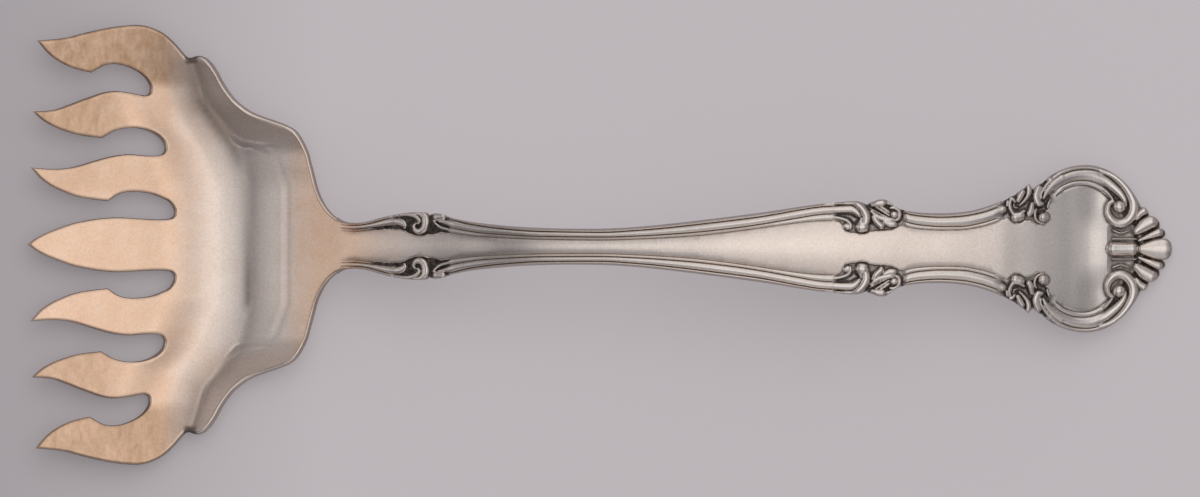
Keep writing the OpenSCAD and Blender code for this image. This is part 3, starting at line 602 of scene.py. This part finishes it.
def triangulate(outline, points, edges=()):
    """Triangles over the half plan between an outline that starts and ends on the middle line
    and that line. Returns plan points, triangles and where the outline's points went."""
    u0, u1 = outline[0, 0], outline[-1, 0]
    middle = np.linspace(u1, u0, int((u1 - u0) / MIDDLE_STEP))[1:-1]
    loop = np.concatenate([outline, np.stack([middle, 0 * middle], axis=1)])
    verts = [Vector(p) for p in np.concatenate([loop, points])]
    rim = list(range(len(loop)))
    shift = len(loop)
    links = [(a + shift, b + shift) for a, b in edges]
    co, _, faces, ids, _, _ = delaunay_2d_cdt(verts, links, [rim[::-1]], 1, 1e-7, True)
    place = np.full(len(verts), -1)
    for k, sources in enumerate(ids):
        for s in sources:
            place[s] = k
    co = np.array([(v.x, v.y) for v in co])
    tri = np.array(faces)
    a, b, c = co[tri[:, 0]], co[tri[:, 1]], co[tri[:, 2]]
    area = (b[:, 0] - a[:, 0]) * (c[:, 1] - a[:, 1]) - (c[:, 0] - a[:, 0]) * (b[:, 1] - a[:, 1])
    tri = np.where(area[:, None] > 0, tri, tri[:, ::-1])
    tri = tri[(np.abs(area) > 1e-10) & inside((a + b + c) / 3, loop)]
    return co, tri, place[:len(outline)]


def build_piece(name, outline, edge, top, top_edges, bottom, surfaces, paint):
    """Closed mesh, mirrored over the middle line, from point sets for its two sides. surfaces
    gives heights of both, paint gives the values that the material reads at each point, and
    edge is the part of the outline that shows."""
    co_t, tri_t, rim_t = triangulate(outline, top, top_edges)
    co_b, tri_b, rim_b = triangulate(outline, bottom)
    verts, faces, values = [], [], []
    total = 0
    rims = {}
    for side, (co, tri, rim) in enumerate(((co_t, tri_t, rim_t), (co_b, tri_b, rim_b))):
        away = distance_to(co, edge)
        xyz = surfaces(co, away)[side]
        on_axis = co[:, 1] < 1e-6
        xyz[on_axis, 1] = 0.0
        flip = xyz * np.array([1.0, -1.0, 1.0])
        other = np.full(len(co), -1)
        other[~on_axis] = np.arange((~on_axis).sum()) + total + len(co)
        other[on_axis] = np.nonzero(on_axis)[0] + total
        verts += [xyz, flip[~on_axis]]
        here = paint(co, away, side, 1)
        there = paint(co[~on_axis], away[~on_axis], side, -1)
        values += [here, there]
        front = tri if side == 0 else tri[:, ::-1]
        faces += [front + total, other[front][:, ::-1]]
        rims[side] = (rim + total, other[rim])
        total += len(co) + (~on_axis).sum()
    for k in range(2):
        a, b = rims[0][k], rims[1][k]
        quad = np.stack([a[:-1], b[:-1], b[1:], a[1:]], axis=1)
        if k == 1:
            quad = quad[:, ::-1]
        faces += [quad[:, [0, 1, 2]], quad[:, [0, 2, 3]]]
    verts = np.concatenate(verts)
    faces = np.concatenate(faces)
    a, b, c = faces.T
    faces = faces[(a != b) & (b != c) & (a != c)]
    verts[:, 0] -= FORK_LENGTH / 2
    mesh = bpy.data.meshes.new(name)
    mesh.from_pydata((verts * MM).tolist(), [], faces.tolist())
    values = np.concatenate(values)
    for k, key in enumerate(("gilt", "painted_shade_and_oxide", "stain")):
        layer = mesh.attributes.new(key, "FLOAT", "POINT")
        layer.data.foreach_set("value", np.ascontiguousarray(values[:, k], dtype=np.float32))
    mesh.polygons.foreach_set("use_smooth", np.ones(len(mesh.polygons), dtype=bool))
    mesh.set_sharp_from_angle(angle=SHARP)
    mesh.update()
    piece = bpy.data.objects.new(name, mesh)
    bpy.context.scene.collection.objects.link(piece)
    return piece


def spread(outline, ring_at, gap, box):
    """Rings of points that follow an outline on its inner side, and a lattice in the middle."""
    loop = np.concatenate([outline, [[outline[-1, 0], 0]], [[outline[0, 0], 0]]])
    rings = []
    for d in ring_at:
        q = offsets(outline, d)
        q = q[(q[:, 1] > 0.07)]
        q = q[distance_to(q, outline) > 0.93 * d]
        rings.append(q[inside(q, loop)])
    fill = lattice(box, gap)
    fill = fill[inside(fill, loop)]
    fill = fill[distance_to(fill, outline) > ring_at[-1] + 0.35 * gap]
    return np.concatenate(rings + [fill])


# Head: tines, bowl and rim, cut off in the neck
CUT_POINTS = 11
HEAD_BOX = (0, 42, 0, 29)
HEAD_TRIM = 28.05 / 28.08
head_outline = join_lines(TINE_LINES + [RIM_LINE], HEAD_STEP)
last = np.nonzero(photo(*head_outline.T)[0] < HEAD_END_X)[0].max()
head_outline = head_outline[:last + 1]
end_u, end_y = head_outline[-1]
cut = np.stack([np.full(CUT_POINTS, end_u), np.linspace(end_y, 0, CUT_POINTS + 1)[1:]], axis=1)
head_outline = np.concatenate([head_outline, cut])
# Just inside the width and length of the CAD model
head_outline[:, 1] *= HEAD_TRIM
head_outline[0, 1] = head_outline[-1, 1] = 0.0
head_outline[:, 0] = np.maximum(head_outline[:, 0], 0.02)
head_top = spread(head_outline, ring_at=(0.06, 0.14, 0.24, 0.4), gap=0.26, box=HEAD_BOX)
head_bottom = spread(head_outline, ring_at=(0.08, 0.22), gap=0.75, box=HEAD_BOX)

# Share of gilding along the fork's middle
GILT_ALONG = curve([
    (27, 1), (160, 1), (195, 0.6), (215, 0.36), (245, 0.2), (285, 0.25), (302, 0.7), (330, 0.95),
    (352, 0.92), (370, 0.6), (395, 0.36), (420, 0.2), (470, 0.16), (600, 0.16), (760, 0.24),
    (900, 0.24), (980, 0.2), (1030, 0.08), (1060, 0.02), (1110, 0.04), (1173, 0.12),
])


def gilding(x, h, away):
    """Share of gilding: whole on the tines, rubbed thin in the bowl and along the edges, and
    gone behind the neck."""
    side = ease((h - 92) / 30) * ease((x - 160) / 25) * ease((330 - x) / 30)
    along = GILT_ALONG(x)
    return (0.35 + 0.65 * ease(away / 0.18)) * (along + (0.55 - along) * side)


def paint_head(co, away, side, mirror):
    """Gilding, painted shade in the notch and the bowl, and brown stains on the tines."""
    x, h = photo(*co.T)
    # The photograph's upper side is the more stained one, and the more shaded
    upper = 1 if mirror > 0 else 0
    first_share, second_share, third_share = (1, 0.8, 0.3) if upper else (0.85, 0.7, 0)
    gilt = gilding(x, h, away)
    # Painted shade in the rim's notch
    notch = ease((x - 184) / 3) * ease((203 - x) / 5) * ease((h - 181) / 4)
    outer = ease((h - 155) / 14) * ease((205 - x) / 60)
    second = ease((h - 98) / 8) * ease((158 - h) / 6) * ease((140 - x) / 50)
    third = ease((h - 48) / 8) * ease((100 - h) / 6) * ease((140 - x) / 60)
    stain = outer * first_share + second * second_share + third_share * third
    # Painted shade in the bowl, first at its shoulders
    painted_shoulder_shade = np.exp(-((x - 197) / 9) ** 2) * ease((h - 122) / 25) * ease((194 - h) / 12)
    painted_shoulder_shade = painted_shoulder_shade * (0.1 + 0.2 * upper)
    # Painted shade along the wall's foot, on the upper side
    foot = np.exp(-((x - TROUGH_AT(h) + 2) / 9) ** 2) * ease((h - 66) / 30) * ease((170 - h) / 30)
    foot = foot * 0.5 * upper
    # A painted dark reflection along the fold
    fold = np.exp(-((x - TROUGH_AT(h) - 2) / 5) ** 2) * ease((72 - h) / 18)
    fold = fold * (0.34 + (0.22 - 0.38 * upper) * ease(h / 40))
    # A thin painted shade over the upper side's front
    painted_upper_shade = 0.09 * upper * ease((h - 50) / 60) * ease((x - 135) / 30) * ease((235 - x) / 30)
    # All of it goes into the attribute that carries the handle's oxide
    painted_shade_and_oxide = np.maximum(0.8 * notch, np.maximum(painted_shoulder_shade, foot) + fold + painted_upper_shade)
    return np.stack([gilt, painted_shade_and_oxide, np.clip(stain + 0.25 * outer * upper, 0, 1)], axis=1)


fork_head = build_piece("fork_head", head_outline, head_outline[:-CUT_POINTS], head_top, (),
                        head_bottom, head_points, paint_head)

# Handle: border, panel and ornaments
handle_edge = join_lines(HANDLE_LINES, HANDLE_STEP)
handle_edge[-1, 1] = 0.0
start_u, start_y = plan(HANDLE_LINES[0])[0]
cut = np.stack([np.full(CUT_POINTS, start_u), np.linspace(0, start_y, CUT_POINTS + 1)[:-1]], axis=1)
handle_outline = np.concatenate([cut, handle_edge])
HANDLE_BOX = (handle_outline[0, 0], handle_outline[-1, 0], 0, 11)


def handle_points():
    """Points of the handle's upper side and the lines that its triangles keep to."""
    outline = handle_outline
    pts, edges = [], []
    total = 0

    def add(q, linked):
        nonlocal total
        pts.append(q)
        if linked:
            edges.extend((total + k, total + k + 1) for k in range(len(q) - 1))
        total += len(q)

    for a, b in RUNS:
        x = np.arange(a + 1.5, b, 2.5)
        lines = border_lines(x)
        lines.append(lines[3] - 4.0)
        for w in RING_LEVELS:
            k = min(int(w), 3)
            h = lines[k] + (lines[k + 1] - lines[k]) * (w - k)
            add(np.stack([(x - TIP_X) / PX_PER_MM, h / PX_PER_MM], axis=1), True)
    # Rings of the round end, from a little before it to a little past its plain part
    x = photo(*outline.T)[0]
    first = np.nonzero((x > 1044) & (outline[:, 1] > 4))[0].min()
    final = np.nonzero((x < 1118) & (outline[:, 1] > 4))[0].max()
    for w in RING_LEVELS:
        k = min(int(w), 2)
        at_x = x
        for _ in range(4):
            depths = round_depths(at_x)
            d = (depths[k] + (depths[k + 1] - depths[k]) * (w - k)) / PX_PER_MM
            ring = offsets(outline, d[:, None])
            at_x = photo(*ring.T)[0]
        keep = at_x[first:final + 1] > 1050
        add(ring[first:final + 1][keep], True)

    def free(q):
        """Keeps lattice points off the outline and out of the border's rings."""
        away = distance_to(q, outline)
        x, h = photo(*q.T)
        ringed = (x > ROUND_X) & (x < ROUND_END_X)
        for a, b in RUNS:
            ringed |= (x > a - 1) & (x < b + 1.5)
        return (away > 0.1) & ~(ringed & (border_level(x, h, away) < 3.4))

    # A fine lattice where the ornaments are, and a coarse one beyond a small margin
    for gap, margin, within in ((FINE, 0, True), (COARSE, 2, False)):
        q = lattice(HANDLE_BOX, gap)
        x, h = photo(*q.T)
        boxed = np.zeros(len(q), bool)
        for x0, x1, h0, h1 in FINE_BOXES:
            boxed |= ((x > x0 - margin) & (x < x1 + margin)
                      & (h >= h0 - margin) & (h < h1 + margin))
        q = q[boxed == within]
        q = q[inside(q, outline)]
        add(q[free(q)], False)
    return np.concatenate(pts), edges


def handle_surfaces(co, away):
    """Upper and lower surface points over plan points; the handle grows out of the head."""
    u, y = co.T
    x, h = photo(u, y)
    grown = ease((x - 342) / 14)[:, None]
    n, t = head_normals(u, y), plate_thickness(u, y)
    neck = np.stack([u, y, head_z(u, y) - t / n[:, 2]], axis=1)
    neck = neck + n * (t + 0.01 - round_off(away, HEAD_ROUND))[:, None]
    upper = np.stack([u, y, handle_relief(x, h, away)[0]], axis=1)
    upper = neck + (upper - neck) * grown
    upper[y < 1e-6, 1] = 0.0
    under = LEVEL(x) - HANDLE_T(x) + 0.12
    neck = head_z(u, y) - HANDLE_T(x) * 1.1
    under = neck + (under - neck) * grown[:, 0]
    under = np.maximum(under + round_off(away, HANDLE_UNDER_ROUND), 0.0)
    return upper, np.stack([u, y, under], axis=1)


def cavity_map():
    """How far each point of the handle lies below its surroundings, as a grid to look up."""
    step = 0.09
    u0, u1, y0, y1 = HANDLE_BOX
    us = np.arange(u0, u1 + step, step)
    ys = np.arange(y0, y1, step)
    grid = np.stack(np.meshgrid(us, ys, indexing="ij"), axis=-1).reshape(-1, 2)
    mask = inside(grid, handle_outline)
    away = distance_to(grid, handle_edge)
    z = np.zeros(len(grid))
    z[mask] = handle_relief(*photo(*grid[mask].T), away[mask])[0]
    shape = (len(us), len(ys))
    z, m = z.reshape(shape), mask.reshape(shape).astype(float)

    def blur(a, r):
        a = np.concatenate([a[:, r:0:-1], a], axis=1)
        for axis in (0, 1):
            for _ in range(2):
                k = np.ones(2 * r + 1) / (2 * r + 1)
                a = np.apply_along_axis(lambda v: np.convolve(v, k, "same"), axis, a)
        return a[:, r:]

    mean = blur(z * m, 4) / np.maximum(blur(m, 4), 1e-3)
    return us, ys, (mean - z) * m


MAP_U, MAP_Y, MAP = cavity_map()


def paint_handle(co, away, side, mirror):
    """Gilding that fades past the neck, oxide that stays in the recesses, and painted shade by the
    ornaments.
    """
    x, h = photo(*co.T)
    gilt = gilding(x, h, away)
    gilt *= 1 - 0.75 * ease((x - 341) / 26) * ease((h - PANEL_EDGE(x) + 1) / 2)
    if side == 1:
        return np.stack([gilt, 0 * x, 0 * x], axis=1)
    # Painted shade where the surface lies below its surroundings, among the ornaments
    i, j = ((co - (MAP_U[0], 0)) / (MAP_U[1] - MAP_U[0], MAP_Y[1] - MAP_Y[0])).round().astype(int).T
    i, j = np.clip(i, 0, len(MAP_U) - 1), np.clip(j, 0, len(MAP_Y) - 1)
    painted_occlusion = np.clip(MAP[i, j] / 0.2 - 0.15, 0, 0.7) * (1 - in_runs(x)) * ease(away / 0.25)
    painted_shade_and_oxide = np.maximum(painted_occlusion, handle_relief(x, h, away)[1]) * ease((x - HEAD_END_X) / 15)
    return np.stack([gilt, painted_shade_and_oxide, 0 * x], axis=1)


handle_top, handle_edges = handle_points()
handle_bottom = spread(handle_outline, ring_at=(0.12, 0.3), gap=0.9, box=HANDLE_BOX)
fork_handle = build_piece("fork_handle", handle_outline, handle_edge, handle_top, handle_edges,
                          handle_bottom, handle_surfaces, paint_handle)


def node(tree, kind, inputs=None, **settings):
    """A shader node with its settings and constant inputs."""
    made = tree.nodes.new("ShaderNode" + kind)
    for key, value in settings.items():
        setattr(made, key, value)
    for key, value in (inputs or {}).items():
        made.inputs[key].default_value = value
    return made


def linear(rgb):
    """Linear colour of an 8-bit sRGB colour."""
    return tuple(((c / 255 + 0.055) / 1.055) ** 2.4 for c in rgb) + (1.0,)


def silver_material():
    """Satin silver, gilt where the piece says so, dark in the recesses and where shade is painted,
    softly scratched.
    """
    mat = bpy.data.materials.new("aged_silver")
    mat.use_nodes = True
    t = mat.node_tree
    t.nodes.clear()
    link = t.links.new
    out = node(t, "OutputMaterial")
    bsdf = node(t, "BsdfPrincipled", {"Metallic": 1.0})
    link(bsdf.outputs["BSDF"], out.inputs["Surface"])
    where = node(t, "NewGeometry").outputs["Position"]

    def math_node(op, a, b, clamp):
        m = node(t, "Math", operation=op, use_clamp=clamp)
        for k, v in enumerate((a, b)):
            if isinstance(v, float):
                m.inputs[k].default_value = v
            else:
                link(v, m.inputs[k])
        return m.outputs[0]

    def times(a, b, clamp=False):
        return math_node("MULTIPLY", a, b, clamp)

    def plus(a, b):
        return math_node("ADD", a, b, False)

    def noise(scale, detail=3.0, rough=0.55, stretch=None):
        n = node(t, "TexNoise", {"Scale": scale, "Detail": detail, "Roughness": rough})
        if stretch:
            grow = node(t, "VectorMath", operation="MULTIPLY")
            link(where, grow.inputs[0])
            grow.inputs[1].default_value = stretch
            link(grow.outputs[0], n.inputs["Vector"])
        else:
            link(where, n.inputs["Vector"])
        return n.outputs["Fac"]

    def ramp(value, stops):
        r = node(t, "ValToRGB")
        e = r.color_ramp.elements
        while len(e) > 1:
            e.remove(e[-1])
        e[0].position, e[0].color = stops[0]
        for at, colour in stops[1:]:
            e.new(at).color = colour
        link(value, r.inputs["Fac"])
        return r.outputs["Color"]

    def mix(share, a, b, blend="MIX"):
        m = node(t, "Mix", data_type="RGBA", blend_type=blend)
        for k, v in ((0, share), (6, a), (7, b)):
            if isinstance(v, (int, float, tuple)):
                m.inputs[k].default_value = v
            else:
                link(v, m.inputs[k])
        return m.outputs[2]

    gilt = node(t, "Attribute", attribute_name="gilt").outputs["Fac"]
    painted_shade_and_oxide = node(t, "Attribute", attribute_name="painted_shade_and_oxide").outputs["Fac"]
    stain = node(t, "Attribute", attribute_name="stain").outputs["Fac"]
    cloud = noise(170.0)
    fine = noise(1900.0, 4.0)
    blotch = noise(420.0, 5.0, 0.65)
    smear = noise(900.0, 6.0, 0.7, (1.0, 0.45, 1.0))
    silver = mix(cloud, (0.84, 0.76, 0.70, 1), (0.95, 0.87, 0.81, 1))
    gold = mix(cloud, (0.85, 0.56, 0.39, 1), (0.94, 0.66, 0.48, 1))
    gold_share = times(gilt, plus(times(blotch, 0.5), 0.72), clamp=True)
    colour = mix(gold_share, silver, gold)
    # Brown stains on the outer tines, and oxide in the recesses; its near-black also paints shade
    dirt = times(stain, ramp(smear, [(0.3, (0.3, 0.3, 0.3, 1)), (0.7, (1, 1, 1, 1))]))
    brown = (0.42, 0.245, 0.13, 1)
    colour = mix(times(dirt, 0.85), colour, brown)
    dark, light = (0.93, 0.93, 0.93, 1), (1.07, 1.07, 1.07, 1)
    grain = ramp(noise(3300.0, 3.0, 0.6), [(0.3, dark), (0.7, light)])
    colour = mix(1.0, colour, grain, "MULTIPLY")
    deep = times(painted_shade_and_oxide, plus(times(fine, 0.5), 0.7), clamp=True)
    oxide_and_shade = (0.05, 0.04, 0.036, 1)
    colour = mix(deep, colour, oxide_and_shade)
    link(colour, bsdf.inputs["Base Color"])
    rough = plus(plus(times(blotch, 0.1), 0.21), times(deep, 0.35))
    link(rough, bsdf.inputs["Roughness"])
    # Fine scratches along and across the piece
    along = noise(900.0, 2.0, 0.5, (0.12, 1.0, 1.0))
    across = noise(1300.0, 2.0, 0.5, (1.0, 0.1, 1.0))
    height = plus(plus(times(along, 0.5), times(across, 0.5)), times(fine, 0.25))
    bump = node(t, "Bump", {"Strength": 0.2, "Distance": 0.00003})
    link(height, bump.inputs["Height"])
    link(bump.outputs["Normal"], bsdf.inputs["Normal"])
    return mat


metal = silver_material()
for piece in (fork_head, fork_handle):
    piece.data.materials.append(metal)
    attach(piece, "root")
    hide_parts("sardine_fork")


def pale_paper():
    """Dull paper. To the camera it is paler, less so beside the tines, a painted fall-off of the
    light.
    """
    mat = bpy.data.materials.new("pale_paper")
    mat.use_nodes = True
    t = mat.node_tree
    link = t.links.new
    bsdf = t.nodes["Principled BSDF"].inputs
    bsdf["Base Color"].default_value = linear((170, 164, 166))
    bsdf["Roughness"].default_value = 0.9
    bsdf["Specular IOR Level"].default_value = 0.1
    bsdf["Emission Color"].default_value = linear((190, 184, 187))
    split = node(t, "SeparateXYZ")
    link(node(t, "NewGeometry").outputs["Position"], split.inputs[0])
    # Less glow towards the tines paints the light's fall-off there as shade
    paler = node(t, "MapRange", {"From Min": -0.078, "From Max": -0.035,
                                 "To Min": 0.22, "To Max": 0.48})
    link(split.outputs["X"], paler.inputs["Value"])
    seen = node(t, "Math", operation="MULTIPLY")
    link(paler.outputs["Result"], seen.inputs[0])
    link(node(t, "LightPath").outputs["Is Camera Ray"], seen.inputs[1])
    link(seen.outputs[0], bsdf["Emission Strength"])
    return mat


FLOOR_HALF = 1.5
floor_mesh = bpy.data.meshes.new("floor")
corners = [(FLOOR_HALF * a, FLOOR_HALF * b, 0) for a, b in ((-1, -1), (1, -1), (1, 1), (-1, 1))]
floor_mesh.from_pydata(corners, [], [(0, 1, 2, 3)])
floor_mesh.materials.append(pale_paper())
floor = bpy.data.objects.new("floor", floor_mesh)
bpy.context.scene.collection.objects.link(floor)


def studio_world():
    """Soft light from all round the fork, as (sine of the direction, brightness) along its length
    and across it: a dim band stands between the zenith and the tines' side, and the side
    of the photograph's lower edge is dimmer than the other. The camera sees a plain backdrop."""
    along = [
        (-1, 0.6), (-0.87, 0.7), (-0.77, 0.66), (-0.69, 0.56), (-0.56, 0.46), (-0.48, 0.38),
        (-0.4, 0.27), (-0.33, 0.17), (-0.27, 0.3), (-0.2, 0.53), (-0.13, 0.72), (-0.09, 0.84),
        (-0.04, 0.95), (0, 1.0), (0.12, 1.05), (0.4, 1.03), (0.52, 0.92), (0.62, 0.66),
        (0.74, 0.42), (0.85, 0.34), (1, 0.34),
    ]
    across = [
        (-1, 0.42), (-0.67, 0.44), (-0.42, 0.47), (-0.3, 0.54), (-0.15, 0.76), (0, 1), (0.15, 0.91),
        (0.3, 0.76), (0.5, 0.7), (1, 0.74),
    ]
    world = bpy.data.worlds.new("studio")
    bpy.context.scene.world = world
    world.use_nodes = True
    t = world.node_tree
    link = t.links.new
    t.nodes.clear()
    out = node(t, "OutputWorld")
    back = node(t, "Background")

    def shade(value):
        """Grey of a brightness, bluer the darker it is."""
        return (value, value * (1 + 0.01 * (1 - value)), value * (1 + 0.09 * (1 - value)), 1)

    split = node(t, "SeparateXYZ")
    link(node(t, "TexCoord").outputs["Generated"], split.inputs[0])
    levels = []
    for axis, stops in ((0, along), (1, across)):
        share = node(t, "MapRange", {"From Min": -1.0, "From Max": 1.0})
        link(split.outputs[axis], share.inputs["Value"])
        ramp = node(t, "ValToRGB")
        e = ramp.color_ramp.elements
        e[0].position, e[1].position = 0.0, 1.0
        e[0].color = shade(stops[0][1])
        e[1].color = shade(stops[-1][1])
        for at, value in stops[1:-1]:
            e.new((at + 1) / 2).color = shade(value)
        link(share.outputs["Result"], ramp.inputs["Fac"])
        levels.append(ramp.outputs["Color"])
    both = node(t, "VectorMath", operation="MULTIPLY")
    link(levels[0], both.inputs[0])
    link(levels[1], both.inputs[1])
    link(both.outputs[0], back.inputs["Color"])
    plain = node(t, "Background", {"Strength": 1.0, "Color": linear((190, 184, 186))})
    choose = node(t, "MixShader")
    link(node(t, "LightPath").outputs["Is Camera Ray"], choose.inputs[0])
    link(back.outputs[0], choose.inputs[1])
    link(plain.outputs[0], choose.inputs[2])
    link(choose.outputs[0], out.inputs["Surface"])


studio_world()

lamp = bpy.data.lights.new("window", "AREA")
lamp.shape = "RECTANGLE"
lamp.size, lamp.size_y = 1.0, 0.8
lamp.energy = 2.6
lamp.color = (1.0, 0.99, 0.985)
window = bpy.data.objects.new("window", lamp)
window.location = (0.12, 0.35, 0.95)
window.rotation_euler = (-window.location).to_track_quat("-Z", "Y").to_euler()
window.visible_glossy = False
bpy.context.scene.collection.objects.link(window)

# Camera straight above, with the photograph's width, and its small shift and turn
view = bpy.data.cameras.new("above")
view.type = "ORTHO"
view.ortho_scale = PHOTO_WIDTH / PX_PER_MM * MM
view.clip_end = 10
camera = bpy.data.objects.new("above", view)
camera.location = (0.0, -0.00022, 0.6)
camera.rotation_euler = (0, 0, math.radians(0.235))
bpy.context.scene.collection.objects.link(camera)
bpy.context.scene.camera = camera
bpy.context.scene.view_settings.view_transform = "Standard"
